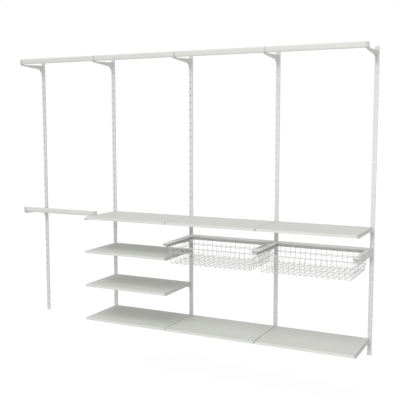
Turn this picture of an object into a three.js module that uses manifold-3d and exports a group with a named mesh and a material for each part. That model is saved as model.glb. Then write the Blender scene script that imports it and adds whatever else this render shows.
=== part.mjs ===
// Wall mounted closet system: five slotted uprights on a wall carry clothes rods,
// pressed steel shelves and two pull-out wire baskets, all hung on hooked brackets.
// Units are millimetres. X runs along the wall, -Y faces the room, Z is up.
// The origin is on the wall plane, at the foot of the middle upright.

import * as THREE from 'three';
import { mergeVertices } from 'three/addons/utils/BufferGeometryUtils.js';
import Module from 'manifold-3d';

const wasm = await Module();
wasm.setup();

// Whole system
const bayPitch = 642.5;           // centre to centre of neighbouring uprights
const uprightHeight = 1960;
const seatGap = 0.3;             // clearance between pieces that rest on each other
const endGap = 1;                // free space at a rod's end, each side of a bracket's centre line
const overrun = 5;               // how far a cutter reaches past what it cuts

// Upright: a lipped channel, open to the wall, with one row of slots in its front
const uprightWidth = 28;
const uprightDepth = 11;
const uprightWall = 1.5;
const uprightLip = 5;
const slotPitch = 48;
const firstSlotCentre = 48;
const slotCount = Math.floor((uprightHeight - firstSlotCentre) / slotPitch) + 1;
const screwHole = 6;
const screwHoleSides = 6;
// A screw hole lies half a pitch above each of these slots: near the foot, halfway and below the rod brackets
const screwHoleSlots = [2, Math.floor(slotCount / 2), slotCount - 4];

// Bracket: a folded channel with its open side down, and two hooks on its back plate
const bracketWidth = 20;
const bracketWall = 1.6;
const hookThick = 3.2;
const hookNeck = 6;              // height of the hook where it passes the slot
const hookDrop = 7;              // how far the hook reaches down behind the slot
const hookPlate = 3;
const hookSidePlay = 0.65;       // slot's side to the hook's side
const hookEntryPlay = 2;         // what a slot is higher than the whole hook that enters it
const slotWidth = hookThick + 2 * hookSidePlay;
const slotHeight = hookNeck + hookDrop + hookEntryPlay;
const arcSteps = 4;

// Levels, as the number of the slot that takes the upper hook, counted from 0 at the foot
const levelSlots = {
  topRod: slotCount - 1,
  lowRod: 16,
  topShelf: 16,
  basket: 13,
  upperMidShelf: 11,
  lowerMidShelf: 6,
  bottomShelf: 1,
};

// Shelf bracket
const shelfBracketReach = 381;   // from the upright's front to the bracket's tip
const shelfBracketRise = 8.5;    // seat above the bottom edge of the upper slot
const shelfBracketBase = 60;
const shelfBracketRoot = 19;
const shelfBracketTip = 4.5;
const shelfBracketGusset = 14;

// Basket bracket
const basketBracketReach = 391;
const basketBracketRise = 28.5;
const basketBracketBase = 80;
const basketBracketRoot = 40;
const basketBracketTip = 16;
const basketBracketGusset = 22;

// Rod bracket
const rodBracketBase = 86;
const rodBracketCrest = 10;      // how far the arm's top rises from the cup to the back plate
const rodBracketRise = 11.5;
const rodBracketRoot = 19;
const rodBracketTip = 5.5;
const rodBracketGusset = 52;
const cupWall = 1.6;
const cupLip = 6;                // how far the cup's lips rise past the rod's lowest line

// Rod: a flat-sided oval tube, seen from the end
const rodHeight = 37;
const rodDepth = 18;
const rodWall = 1.2;
const rodFace = 258;             // wall to the rod's front
const rodOverhang = 15;          // past the centre of the left upright
const rodRightOverhang = 4;      // past the centre of the right upright
const capFlange = 8;
const capRound = 4;              // how far the cap's face is rounded off
const capPlug = 12;

// Saddle that carries the low rod's right end on a shelf bracket
const saddleSkirt = 16;
const saddleSkirtWall = 1.5;

// Shelf: a pressed sheet tray with its rims turned down
const shelfFront = 405;          // wall to the shelf's front
const shelfBack = 32;            // wall to the shelf's back
const shelfRim = 18;
const shelfSheet = 1.5;
const shelfHem = 10;             // sheet turned back under the front rim
const shelfEdgeRadius = 4;
const shelfEndGap = 2.2;         // shelf's end to the bracket's centre line

// Basket frame: a folded rail round three sides, with a ledge below and a sloping bead above
const frameSheet = 1.5;
const frameHeight = 32;
const frameLand = 3.5;           // level strip between the web and the bead
const frameBead = 14;            // web's outer face to the bead's edge
const frameReturn = 10;          // how far the bead's lower side comes back towards the web
const frameLift = 13;            // top of the frame above the bracket's seat
const frameFlange = 10;          // sheet that lies on the bracket
const frameSideGap = 1;          // web to the bracket's side
const frameBackFace = 24;        // wall to the back rail
const frameFront = 405;          // wall to the runners' front ends

// Wire basket
const rimWire = 6;
const meshWire = 3.4;
const weldDepth = 0.8;           // how far crossing wires run into each other
const basketSideGap = 0.5;       // rim to the frame's web
const basketFrontSetback = 5;    // rim behind the runners' front ends
const basketDepth = 116;         // rim centre to the centre of the bottom wires
const basketSideTaper = 15;
const basketFrontTaper = 13;
const basketBackTaper = 13;
const crossWires = 17;           // front to back
const lengthWires = 4;           // side to side
const basketRingShares = [0.64]; // heights of the rings between bottom and rim
const endWireInset = 6;          // outermost wire to the corner of the bottom

// Derived levels and places
const slotBottom = (slot) => firstSlotCentre + slot * slotPitch - slotHeight / 2;
const uprightX = (number) => (number - 3) * bayPitch;
const frontOfUpright = -uprightDepth;
const backOfPlate = frontOfUpright - seatGap;
const shelfBracketTop = (slot) => slotBottom(slot) + shelfBracketRise;
const shelfTop = (slot) => shelfBracketTop(slot) + seatGap + shelfRim;
const rodBracketTop = (slot) => slotBottom(slot) + rodBracketRise;
const rodBottom = (slot) => rodBracketTop(slot) + cupWall + seatGap;
const rodCentreY = -rodFace + rodDepth / 2;
const basketBracketTop = slotBottom(levelSlots.basket) + basketBracketRise;
const frameTop = basketBracketTop + frameLift;
const frameBottom = frameTop - frameHeight;
const frameWebX = bracketWidth / 2 + frameSideGap;   // from a bracket's centre line
const frameLedge = rimWire - weldDepth;              // reaches under the rim, clear of the wires
const rimCentreZ = frameBottom + frameSheet + seatGap + rimWire / 2;

// Powder-coated steel, coated wire and moulded plastic, all in slightly different whites
const steelWhite = new THREE.MeshStandardMaterial({ color: 0xeceeea, roughness: 0.45, metalness: 0.1 });
const shelfWhite = new THREE.MeshStandardMaterial({ color: 0xe4e5df, roughness: 0.5, metalness: 0.1 });
const wireWhite = new THREE.MeshStandardMaterial({ color: 0xf0f0ee, roughness: 0.4, metalness: 0.1 });
const capGrey = new THREE.MeshStandardMaterial({ color: 0xd4d5d0, roughness: 0.6, metalness: 0.0 });

// Solids and meshes
function solid(geometry) {
  const bare = geometry.index ? geometry.toNonIndexed() : geometry;
  bare.deleteAttribute('normal');
  bare.deleteAttribute('uv');
  const merged = mergeVertices(bare, 1e-4);
  const vertProperties = new Float32Array(merged.attributes.position.array);
  const triVerts = new Uint32Array(merged.index.array);
  return new wasm.Manifold(new wasm.Mesh({ numProp: 3, vertProperties, triVerts }));
}

function geometryOf(body) {
  const mesh = body.getMesh();
  const geometry = new THREE.BufferGeometry();
  geometry.setAttribute('position', new THREE.BufferAttribute(new Float32Array(mesh.vertProperties), 3));
  geometry.setIndex(new THREE.BufferAttribute(new Uint32Array(mesh.triVerts), 1));
  const flat = geometry.toNonIndexed();
  flat.computeVertexNormals();
  return flat;
}

function join(bodies) {
  return bodies.reduce((whole, body) => whole.add(body));
}

const alongX = new THREE.Matrix4().set(0, 0, 1, 0, 1, 0, 0, 0, 0, 1, 0, 0, 0, 0, 0, 1);
const alongY = new THREE.Matrix4().set(1, 0, 0, 0, 0, 0, -1, 0, 0, 1, 0, 0, 0, 0, 0, 1);

function extruded(shape, length) {
  return new THREE.ExtrudeGeometry(shape, { depth: length, bevelEnabled: false });
}

// A shape drawn in Y and Z, extruded from x towards +X
function bodyAlongX(shape, x, length) {
  return solid(extruded(shape, length).applyMatrix4(alongX).translate(x, 0, 0));
}

// A shape drawn in X and Z, extruded from y towards the room (-Y)
function bodyAlongY(shape, y, length) {
  return solid(extruded(shape, length).applyMatrix4(alongY).translate(0, y, 0));
}

// A shape drawn in X and Y, extruded from z upwards
function bodyAlongZ(shape, z, length) {
  return solid(extruded(shape, length).translate(0, 0, z));
}

function outline(points) {
  return new THREE.Shape(points.map(([a, b]) => new THREE.Vector2(a, b)));
}

function rectangle(lowA, lowB, highA, highB) {
  return outline([[lowA, lowB], [highA, lowB], [highA, highB], [lowA, highB]]);
}

function box(low, high) {
  const size = high.map((value, axis) => value - low[axis]);
  const middle = high.map((value, axis) => (value + low[axis]) / 2);
  return solid(new THREE.BoxGeometry(...size).translate(...middle));
}

// Points on an arc, both ends included
function arc(centre, radius, from, to, steps) {
  const points = [];
  for (let step = 0; step <= steps; step += 1) {
    const angle = from + (to - from) * step / steps;
    points.push([centre[0] + radius * Math.cos(angle), centre[1] + radius * Math.sin(angle)]);
  }
  return points;
}

// The outline's points of a strip of even thickness along a line of points, with mitred corners
function stripPoints(points, thickness) {
  const direction = (from, to) => {
    const length = Math.hypot(to[0] - from[0], to[1] - from[1]);
    return [(to[0] - from[0]) / length, (to[1] - from[1]) / length];
  };
  const side = (sign) => points.map((point, index) => {
    const before = index > 0 ? direction(points[index - 1], point) : direction(point, points[index + 1]);
    const after = index < points.length - 1 ? direction(point, points[index + 1]) : before;
    const normal = [-(before[1] + after[1]) / 2, (before[0] + after[0]) / 2];
    const reach = sign * thickness / 2 / (normal[0] ** 2 + normal[1] ** 2);
    return [point[0] + normal[0] * reach, point[1] + normal[1] * reach];
  });
  return [...side(1), ...side(-1).reverse()];
}

function strip(points, thickness) {
  return outline(stripPoints(points, thickness));
}

// Rings in Y and Z, each at its own x, skinned in the order of growing x
function lofted(rings) {
  const count = rings[0].points.length;
  const positions = rings.flatMap(({ x, points }) => points.flatMap(([y, z]) => [x, y, z]));
  const faces = [];
  for (let ring = 0; ring + 1 < rings.length; ring += 1) {
    for (let point = 0; point < count; point += 1) {
      const here = ring * count + point;
      const next = ring * count + (point + 1) % count;
      faces.push(here, next, next + count, here, next + count, here + count);
    }
  }
  const last = (rings.length - 1) * count;
  for (let point = 1; point + 1 < count; point += 1) {
    faces.push(0, point + 1, point, last, last + point, last + point + 1);
  }
  const geometry = new THREE.BufferGeometry();
  geometry.setAttribute('position', new THREE.BufferAttribute(new Float32Array(positions), 3));
  geometry.setIndex(faces);
  return solid(geometry);
}

// Upright
function uprightBody() {
  const half = uprightWidth / 2;
  const inner = half - uprightWall;
  const channel = outline([
    [-half, -uprightDepth], [half, -uprightDepth], [half, 0], [half - uprightLip, 0],
    [half - uprightLip, -uprightWall], [inner, -uprightWall], [inner, uprightWall - uprightDepth],
    [-inner, uprightWall - uprightDepth], [-inner, -uprightWall], [uprightLip - half, -uprightWall],
    [uprightLip - half, 0], [-half, 0],
  ]);
  const webFront = -uprightDepth - overrun;
  const webBack = uprightWall - uprightDepth + overrun;
  const cutters = [];
  for (let slot = 0; slot < slotCount; slot += 1) {
    const low = slotBottom(slot);
    cutters.push(box([-slotWidth / 2, webFront, low], [slotWidth / 2, webBack, low + slotHeight]));
  }
  for (const slot of screwHoleSlots) {
    const height = slotBottom(slot) + (slotHeight + slotPitch) / 2;
    const hole = new THREE.CylinderGeometry(
      screwHole / 2, screwHole / 2, webBack - webFront, screwHoleSides);
    cutters.push(solid(hole.translate(0, (webBack + webFront) / 2, height)));
  }
  return bodyAlongZ(channel, 0, uprightHeight).subtract(join(cutters));
}

// Hooks of a bracket: each passes a slot and drops behind the upright's front
function hookBody(slot) {
  const low = slotBottom(slot) + seatGap;
  const inside = uprightWall - uprightDepth + seatGap;
  const profile = outline([
    [backOfPlate - bracketWall / 2, low], [inside, low], [inside, low - hookDrop],
    [inside + hookPlate, low - hookDrop], [inside + hookPlate, low + hookNeck],
    [backOfPlate - bracketWall / 2, low + hookNeck],
  ]);
  return bodyAlongX(profile, -hookThick / 2, hookThick);
}

// Arm and back plate of a bracket. The arm's top is level at height top along its seat at the
// front, and rises from there to the back plate by crest
function bracketBody({ slot, top, reach, base, crest, seat, root, tip, gusset }) {
  const half = bracketWidth / 2;
  const back = backOfPlate;
  const front = frontOfUpright - reach;
  const foot = top + crest - base;
  const sweepCentre = [back - bracketWall - gusset, foot];
  const sweep = arc([0, 0], 1, 0, Math.PI / 2, arcSteps).map(([a, b]) => [
    sweepCentre[0] + a * gusset, sweepCentre[1] + b * (top - root - foot)]);
  const side = outline([
    [back, top + crest], [back, foot], ...sweep, [front, top - tip], [front, top],
    [front + seat, top], [back - bracketWall, top + crest],
  ]);
  const pocketHalf = half - bracketWall;
  const pocket = outline([
    [back - bracketWall, top + crest - bracketWall], [front + seat, top - bracketWall],
    [front + bracketWall, top - bracketWall], [front + bracketWall, foot - overrun],
    [back - bracketWall, foot - overrun],
  ]);
  return join([
    bodyAlongX(side, -half, bracketWidth).subtract(bodyAlongX(pocket, -pocketHalf, 2 * pocketHalf)),
    hookBody(slot),
    hookBody(slot - 1),
  ]);
}

// Cup under a rod, drawn in Y and Z round the rod's lower edge
function cupOutline(bottomOfRod, base) {
  const radius = rodDepth / 2 + seatGap;
  const centre = [rodCentreY, bottomOfRod + rodDepth / 2];
  const lip = bottomOfRod + cupLip;
  const open = Math.acos((centre[1] - lip) / radius);
  const down = -Math.PI / 2;
  const hollow = arc(centre, radius, down + open, down - open, arcSteps + 2);
  const outer = radius + cupWall;
  return outline([
    [rodCentreY - outer, lip], [rodCentreY - outer, base], [rodCentreY + outer, base],
    [rodCentreY + outer, lip], ...hollow,
  ]);
}

function rodBracketBody(slot) {
  const top = rodBracketTop(slot);
  const cupHalf = rodDepth / 2 + seatGap + cupWall;
  const arm = bracketBody({
    slot,
    top,
    reach: frontOfUpright - rodCentreY + cupHalf,
    base: rodBracketBase,
    crest: rodBracketCrest,
    seat: 2 * cupHalf,
    root: rodBracketRoot,
    tip: rodBracketTip,
    gusset: rodBracketGusset,
  });
  const cup = cupOutline(rodBottom(slot), top - bracketWall);
  return arm.add(bodyAlongX(cup, -bracketWidth / 2, bracketWidth));
}

function shelfBracketBody(slot) {
  return bracketBody({
    slot,
    top: shelfBracketTop(slot),
    reach: shelfBracketReach,
    base: shelfBracketBase,
    crest: 0,
    seat: shelfBracketReach / 2,
    root: shelfBracketRoot,
    tip: shelfBracketTip,
    gusset: shelfBracketGusset,
  });
}

function basketBracketBody() {
  return bracketBody({
    slot: levelSlots.basket,
    top: basketBracketTop,
    reach: basketBracketReach,
    base: basketBracketBase,
    crest: 0,
    seat: basketBracketReach / 2,
    root: basketBracketRoot,
    tip: basketBracketTip,
    gusset: basketBracketGusset,
  });
}

// Rod and its end caps
function ovalPoints(shrink, bottomOfRod) {
  const radius = rodDepth / 2 - shrink;
  const low = [rodCentreY, bottomOfRod + rodDepth / 2];
  const high = [rodCentreY, bottomOfRod + rodHeight - rodDepth / 2];
  return [...arc(high, radius, 0, Math.PI, arcSteps), ...arc(low, radius, Math.PI, 2 * Math.PI, arcSteps)];
}

function rodBody(slot, fromX, toX) {
  const section = outline(ovalPoints(0, rodBottom(slot)));
  section.holes.push(outline(ovalPoints(rodWall, rodBottom(slot))));
  return bodyAlongX(section, fromX, toX - fromX);
}

// A cap with its outer face at x: a rounded flange, then a plug that points towards +X for side 1
// and towards -X for side -1
function rodCapBody(slot, x, side) {
  const rings = arc([capRound, capRound], capRound, Math.PI, 3 * Math.PI / 2, arcSteps / 2);
  const plug = rodWall + seatGap;
  rings.push([capFlange, 0], [capFlange, plug], [capFlange + capPlug, plug]);
  const skin = rings.map(([depth, shrink]) => ({
    x: x + side * depth,
    points: ovalPoints(shrink, rodBottom(slot)),
  }));
  return lofted(side > 0 ? skin : skin.reverse());
}

// Saddle on the left half of a shelf bracket
function saddleBody(centreX, toX) {
  const base = shelfBracketTop(levelSlots.topShelf) + seatGap;
  const outerX = centreX - bracketWidth / 2 - seatGap;
  const cup = cupOutline(rodBottom(levelSlots.lowRod), base);
  const half = rodDepth / 2 + seatGap + cupWall;
  const fromX = outerX - saddleSkirtWall;
  return join([
    bodyAlongX(cup, fromX, toX - fromX),
    box([fromX, rodCentreY - half, base - saddleSkirt], [outerX, rodCentreY + half, base + cupWall / 2]),
  ]);
}

// Shelf
function shelfBody(slot, fromX, toX) {
  const top = shelfTop(slot);
  const low = top - shelfRim;
  const front = -shelfFront;
  const back = -shelfBack;
  const outer = arc([front + shelfEdgeRadius, top - shelfEdgeRadius], shelfEdgeRadius,
    Math.PI / 2, Math.PI, arcSteps / 2);
  const innerRadius = shelfEdgeRadius - shelfSheet;
  const inner = arc([front + shelfEdgeRadius, top - shelfEdgeRadius], innerRadius,
    Math.PI, Math.PI / 2, arcSteps / 2);
  const section = outline([
    [back, top], ...outer, [front, low], [front + shelfHem, low], [front + shelfHem, low + shelfSheet],
    [front + shelfSheet, low + shelfSheet], ...inner, [back - shelfSheet, top - shelfSheet],
    [back - shelfSheet, low], [back, low],
  ]);
  const end = outline([[back, top], ...outer, [front, low], [back, low]]);
  return join([
    bodyAlongX(section, fromX, toX - fromX),
    bodyAlongX(end, fromX, shelfSheet),
    bodyAlongX(end, toX - shelfSheet, shelfSheet),
  ]);
}

// Basket frame's section, drawn from the outer face of the web at 0 towards the basket: ledge,
// web, level strip, and the bead down and back at 45 degrees
function frameSection() {
  const half = frameSheet / 2;
  const top = frameTop - half;
  const edge = top - (frameBead - frameLand);
  return stripPoints([
    [frameSheet + frameLedge, frameBottom + half], [half, frameBottom + half], [half, top],
    [frameLand, top], [frameBead, edge], [frameBead - frameReturn, edge - frameReturn],
  ], frameSheet);
}

// Wedge that cuts a corner mitre, drawn from the frame's outer corner at cornerX:
// for side 1 the frame lies to the right of that corner
function mitreWedge(cornerX, side, corners) {
  const points = corners.map(([a, b]) => [cornerX + side * a, b - frameBackFace]);
  return bodyAlongZ(outline(points), frameBottom - overrun, frameHeight + 2 * overrun);
}

function runnerBody(cornerX, side) {
  const seat = basketBracketTop + seatGap;
  const flange = [
    [-frameFlange, seat], [frameSheet / 2, seat], [frameSheet / 2, seat + frameSheet],
    [-frameFlange, seat + frameSheet],
  ];
  const length = frameFront - frameBackFace;
  const bodies = [frameSection(), flange].map((points) => bodyAlongY(
    outline(points.map(([a, b]) => [cornerX + side * a, b])), -frameBackFace, length));
  const open = seatGap * Math.SQRT2;
  const far = frameBead + frameSheet + overrun;
  const wedge = mitreWedge(cornerX, side, [[-open - overrun, overrun], [far, overrun], [far, -open - far]]);
  return join(bodies).subtract(wedge);
}

function backRailBody(halfLength) {
  const points = frameSection().map(([a, b]) => [-frameBackFace - a, b]);
  const far = frameBead + frameSheet + overrun;
  const corners = [[-overrun, overrun], [-overrun, -far], [far, -far]];
  return bodyAlongX(outline(points), -halfLength, 2 * halfLength)
    .subtract(mitreWedge(-halfLength, 1, corners))
    .subtract(mitreWedge(halfLength, -1, corners));
}

// Wire basket about its own middle line x = 0
function basketBody(halfWidth) {
  const rimBack = -frameBackFace - frameSheet - basketSideGap - rimWire / 2;
  const rimFront = -frameFront + basketFrontSetback + rimWire / 2;
  const wireStep = (rimWire + meshWire) / 2 - weldDepth;
  const layer = meshWire - weldDepth;
  const top = rimCentreZ;
  const bottom = top - basketDepth;
  const sideTop = halfWidth - wireStep;
  const sideBottom = sideTop - basketSideTaper;
  const frontTop = rimFront + wireStep;
  const frontBottom = frontTop + basketFrontTaper;
  const backTop = rimBack - wireStep;
  const backBottom = backTop - basketBackTaper;
  const bodies = [];
  const firstX = -sideBottom + endWireInset;
  for (let wire = 0; wire < crossWires; wire += 1) {
    const x = firstX - 2 * firstX * wire / (crossWires - 1);
    const corners = [[frontTop, top], [frontBottom, bottom], [backBottom, bottom], [backTop, top]];
    const line = strip(corners, meshWire);
    bodies.push(bodyAlongX(line, x - meshWire / 2, meshWire));
  }
  const firstY = frontBottom + endWireInset;
  const lastY = backBottom - endWireInset;
  for (let wire = 0; wire < lengthWires; wire += 1) {
    const y = firstY + (lastY - firstY) * wire / (lengthWires - 1);
    const low = bottom - layer;
    const line = strip([[-sideTop, top], [-sideBottom, low], [sideBottom, low], [sideTop, top]], meshWire);
    bodies.push(bodyAlongY(line, y + meshWire / 2, meshWire));
  }
  const ring = (share, wireSize, outwards) => {
    const height = bottom + (top - bottom) * share;
    const mix = (low, high) => low + (high - low) * share;
    const x = mix(sideBottom, sideTop) + outwards;
    const front = mix(frontBottom, frontTop) - outwards;
    const back = mix(backBottom, backTop) + outwards;
    const grow = wireSize / 2;
    const shape = rectangle(-x - grow, front - grow, x + grow, back + grow);
    shape.holes.push(rectangle(grow - x, front + grow, x - grow, back - grow));
    bodies.push(bodyAlongZ(shape, height - grow, wireSize));
  };
  ring(1, rimWire, wireStep);
  basketRingShares.forEach((share) => ring(share, meshWire, layer));
  return join(bodies);
}

// Assembly
const closet = new THREE.Group();

function place(name, body, material, x = 0) {
  const mesh = new THREE.Mesh(geometryOf(body), material);
  mesh.name = name;
  mesh.position.set(x, 0, 0);
  closet.add(mesh);
}

const uprightNumbers = [1, 2, 3, 4, 5];
const bayNumbers = [1, 2, 3, 4];
const upright = uprightBody();
const topRodBracket = rodBracketBody(levelSlots.topRod);
for (const number of uprightNumbers) {
  place(`upright_${number}`, upright, steelWhite, uprightX(number));
  place(`rod_bracket_top_${number}`, topRodBracket, steelWhite, uprightX(number));
}

// Rods meet over the brackets' centre lines
const leftEnd = uprightX(1) - rodOverhang;
const rightEnd = uprightX(5) + rodRightOverhang;
for (const bay of bayNumbers) {
  const fromX = bay === 1 ? leftEnd + capFlange + seatGap : uprightX(bay) + endGap / 2;
  const toX = bay === 4 ? rightEnd - capFlange - seatGap : uprightX(bay + 1) - endGap / 2;
  place(`rod_top_${bay}`, rodBody(levelSlots.topRod, fromX, toX), steelWhite);
}
place('rod_cap_top_left', rodCapBody(levelSlots.topRod, leftEnd, 1), capGrey);
place('rod_cap_top_right', rodCapBody(levelSlots.topRod, rightEnd, -1), capGrey);

const lowRodEnd = uprightX(2) - endGap;
place('rod_bracket_low', rodBracketBody(levelSlots.lowRod), steelWhite, uprightX(1));
const lowRod = rodBody(levelSlots.lowRod, leftEnd + capFlange + seatGap, lowRodEnd - capFlange - seatGap);
place('rod_low', lowRod, steelWhite);
place('rod_cap_low_left', rodCapBody(levelSlots.lowRod, leftEnd, 1), capGrey);
place('rod_cap_low_right', rodCapBody(levelSlots.lowRod, lowRodEnd, -1), capGrey);
place('rod_saddle_low', saddleBody(uprightX(2), lowRodEnd), capGrey);

// Shelf rows, each with its bays from left to right
const shelfRows = [
  { name: 'top', slot: levelSlots.topShelf, bays: [2, 3, 4] },
  { name: 'upper_mid', slot: levelSlots.upperMidShelf, bays: [2] },
  { name: 'lower_mid', slot: levelSlots.lowerMidShelf, bays: [2] },
  { name: 'bottom', slot: levelSlots.bottomShelf, bays: [2, 3, 4] },
];
for (const row of shelfRows) {
  const bracket = shelfBracketBody(row.slot);
  const carriers = [...row.bays, row.bays[row.bays.length - 1] + 1];
  for (const number of carriers) {
    place(`shelf_bracket_${row.name}_${number}`, bracket, steelWhite, uprightX(number));
  }
  const shelf = shelfBody(row.slot, shelfEndGap - bayPitch / 2, bayPitch / 2 - shelfEndGap);
  for (const bay of row.bays) {
    place(`shelf_${row.name}_${bay}`, shelf, shelfWhite, uprightX(bay) + bayPitch / 2);
  }
}

// Basket bays
const basketBays = [3, 4];
const basketBracket = basketBracketBody();
for (const number of [3, 4, 5]) {
  place(`basket_bracket_${number}`, basketBracket, steelWhite, uprightX(number));
}
const webHalf = bayPitch / 2 - frameWebX;
const leftRunner = runnerBody(-webHalf, 1);
const rightRunner = runnerBody(webHalf, -1);
const backRail = backRailBody(webHalf);
const basket = basketBody(webHalf - frameSheet - basketSideGap - rimWire / 2);
for (const bay of basketBays) {
  const middle = uprightX(bay) + bayPitch / 2;
  place(`basket_runner_left_${bay}`, leftRunner, steelWhite, middle);
  place(`basket_runner_right_${bay}`, rightRunner, steelWhite, middle);
  place(`basket_back_rail_${bay}`, backRail, steelWhite, middle);
  place(`basket_${bay}`, basket, wireWhite, middle);
}

export default closet;
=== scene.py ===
# %% [markdown]
# # A wall closet of slotted uprights
#
# This lesson dresses a wall closet: five slotted steel uprights, the brackets that hook
# into them, clothes rods, pressed shelves and two pull-out wire baskets. Everything is
# sheet steel or wire under white powder coat, so the work lies in true folds, holes and
# soft edges, and in a white that isn't flat. The CAD frame gives places and outer sizes.

# %% Load the frame
import math

import bpy
import numpy as np
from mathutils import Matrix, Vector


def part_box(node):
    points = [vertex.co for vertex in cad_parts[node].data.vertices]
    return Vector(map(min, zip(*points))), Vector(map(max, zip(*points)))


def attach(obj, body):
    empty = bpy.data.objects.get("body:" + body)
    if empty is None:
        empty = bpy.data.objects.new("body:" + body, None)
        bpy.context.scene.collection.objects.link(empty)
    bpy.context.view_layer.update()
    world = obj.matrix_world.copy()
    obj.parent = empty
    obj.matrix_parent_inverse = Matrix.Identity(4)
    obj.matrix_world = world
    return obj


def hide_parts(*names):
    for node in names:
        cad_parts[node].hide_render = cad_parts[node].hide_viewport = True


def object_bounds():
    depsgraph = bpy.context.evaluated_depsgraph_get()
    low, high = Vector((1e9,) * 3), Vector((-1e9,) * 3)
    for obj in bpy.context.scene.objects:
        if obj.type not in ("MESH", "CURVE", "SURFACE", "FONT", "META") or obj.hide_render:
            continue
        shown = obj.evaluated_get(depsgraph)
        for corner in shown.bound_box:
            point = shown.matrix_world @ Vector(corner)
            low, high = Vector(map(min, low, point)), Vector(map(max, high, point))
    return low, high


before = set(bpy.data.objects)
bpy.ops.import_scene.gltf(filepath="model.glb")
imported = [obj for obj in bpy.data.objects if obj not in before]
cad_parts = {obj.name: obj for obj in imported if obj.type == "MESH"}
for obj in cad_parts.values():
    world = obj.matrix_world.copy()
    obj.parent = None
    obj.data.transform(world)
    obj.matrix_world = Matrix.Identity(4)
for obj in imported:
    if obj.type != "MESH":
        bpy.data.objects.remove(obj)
cad_low, cad_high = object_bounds()
mm = 0.001
wall_body, left_body, right_body = "wall_system", "left_basket", "right_basket"
print("CAD box in mm:", [round((b - a) / mm) for a, b in zip(cad_low, cad_high)])

# %% [markdown]
# ## The camera
#
# The photograph was taken from the right of the closet, a little above its middle, with a
# longish lens. The camera comes first, so that every piece can be judged in the view it is
# made for. Its place was solved from the corners of uprights, rods and shelves.

# %% Camera at the photograph's angle
def add_object(name, data):
    """A new object in the scene."""
    thing = bpy.data.objects.new(name, data)
    bpy.context.scene.collection.objects.link(thing)
    return thing


camera_place = (2.2185, -4.4030, 1.4711)
camera_turn_left = 26.043
camera_tilt_down = 6.08
camera_data = bpy.data.cameras.new("camera")
camera_data.sensor_width = 36
camera_data.lens = 62.68
camera = add_object("camera", camera_data)
camera.location = camera_place
camera.rotation_euler = (math.radians(90 - camera_tilt_down), 0, math.radians(camera_turn_left))
bpy.context.scene.camera = camera
print("camera at", camera_place, "with a lens of", camera_data.lens, "mm")

# %% [markdown]
# ## Lines with bends
#
# Folded steel and bent wire are both straight runs joined by arcs. One helper turns a list
# of sharp corners into such a line, for all its corners at once, and every section and wire
# below starts from it.

# %% Lines and arcs
def unit(vectors):
    """Each vector divided by its length."""
    return vectors / np.linalg.norm(vectors, axis=-1, keepdims=True)


def bent(corners, radius, steps=5, closed=False):
    """Corners rounded by arcs. An arc's centre lies on the corner's bisector, radius over the
    cosine of half the turn away from it, and its points are centre + cosine(t) times the spoke
    to the arc's start + sine(t) times radius times the incoming direction, for t up to the turn."""
    points = np.asarray(corners, float)
    if closed:
        before, at, after = np.roll(points, 1, 0), points, np.roll(points, -1, 0)
    else:
        before, at, after = points[:-2], points[1:-1], points[2:]
    incoming = unit(at - before)
    outgoing = unit(after - at)
    turn = np.arccos(np.clip((incoming * outgoing).sum(-1), -1, 1))[:, None]
    start = at - incoming * radius * np.tan(turn / 2)
    centre = at + unit(outgoing - incoming) * radius / np.cos(turn / 2)
    t = (turn * np.linspace(0, 1, steps + 1))[..., None]
    arcs = centre[:, None] + np.cos(t) * (start - centre)[:, None] + np.sin(t) * radius * incoming[:, None]
    line = arcs.reshape(-1, points.shape[1])
    return line if closed else np.vstack([points[:1], line, points[-1:]])


def arc(centre, radius, start, end, steps):
    """Centre plus radius times (cosine, sine) of an angle that runs from start to end in degrees."""
    angle = np.radians(np.linspace(start, end, steps + 1))
    return np.asarray(centre) + radius * np.column_stack([np.cos(angle), np.sin(angle)])


def rounded_box(low_u, high_u, low_v, high_v, radius, steps):
    """A closed rectangle with round corners."""
    corners = [(low_u, low_v), (high_u, low_v), (high_u, high_v), (low_u, high_v)]
    return bent(corners, radius, steps, closed=True)


print("a right-angled bend has", len(bent([(0, 0), (1, 0), (1, 1)], 0.2)), "points")

# %% [markdown]
# ## From grids to meshes
#
# Each surface is an array of points with two directions, along and across. Faces only join
# neighbours in that array, so one helper serves every piece: it can close the grid in either
# direction, leave quads out where a hole is, and close the ends with one flat face each.

# %% Grids, joins and shifts
def grid_of(x, y, z):
    """One array [..., xyz] of places that may each vary in one direction only."""
    return np.stack(np.broadcast_arrays(x, y, z), axis=-1)


def patch(points, wrap_along=False, wrap_across=False, keep=None, ends=False):
    """Vertices, face corners and face sizes of a grid [..., along, across, xyz]. A quad joins
    (i, j), (i + 1, j), (i + 1, j + 1) and (i, j + 1), so it faces along x across."""
    ring = np.arange(points.size // 3).reshape(points.shape[:-1])
    index = np.concatenate([ring, ring[..., :1, :]], axis=-2) if wrap_along else ring
    index = np.concatenate([index, index[..., :1]], axis=-1) if wrap_across else index
    quads = np.stack([
        index[..., :-1, :-1], index[..., 1:, :-1], index[..., 1:, 1:], index[..., :-1, 1:]], axis=-1)
    quads = (quads if keep is None else quads[keep]).reshape(-1, 4)
    corners, sizes = quads.ravel(), np.full(len(quads), 4)
    if ends:
        columns = ring.shape[-1]
        first, last = ring[..., 0, :], ring[..., -1, ::-1]
        lids = np.concatenate([first.reshape(-1, columns), last.reshape(-1, columns)])
        corners = np.concatenate([corners, lids.ravel()])
        sizes = np.concatenate([sizes, np.full(len(lids), columns)])
    return points.reshape(-1, 3), corners, sizes


def joined(*shapes):
    """Several shapes as one: their points in a row, and their corners counted on."""
    points, corners, sizes = zip(*shapes)
    starts = np.cumsum([0] + [len(some) for some in points])
    counted_on = [some + start for some, start in zip(corners, starts)]
    return np.concatenate(points), np.concatenate(counted_on), np.concatenate(sizes)


def with_face(shape, face):
    """The shape with one more face, given as the numbers of its points."""
    points, corners, sizes = shape
    return points, np.append(corners, face), np.append(sizes, len(face))


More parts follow.
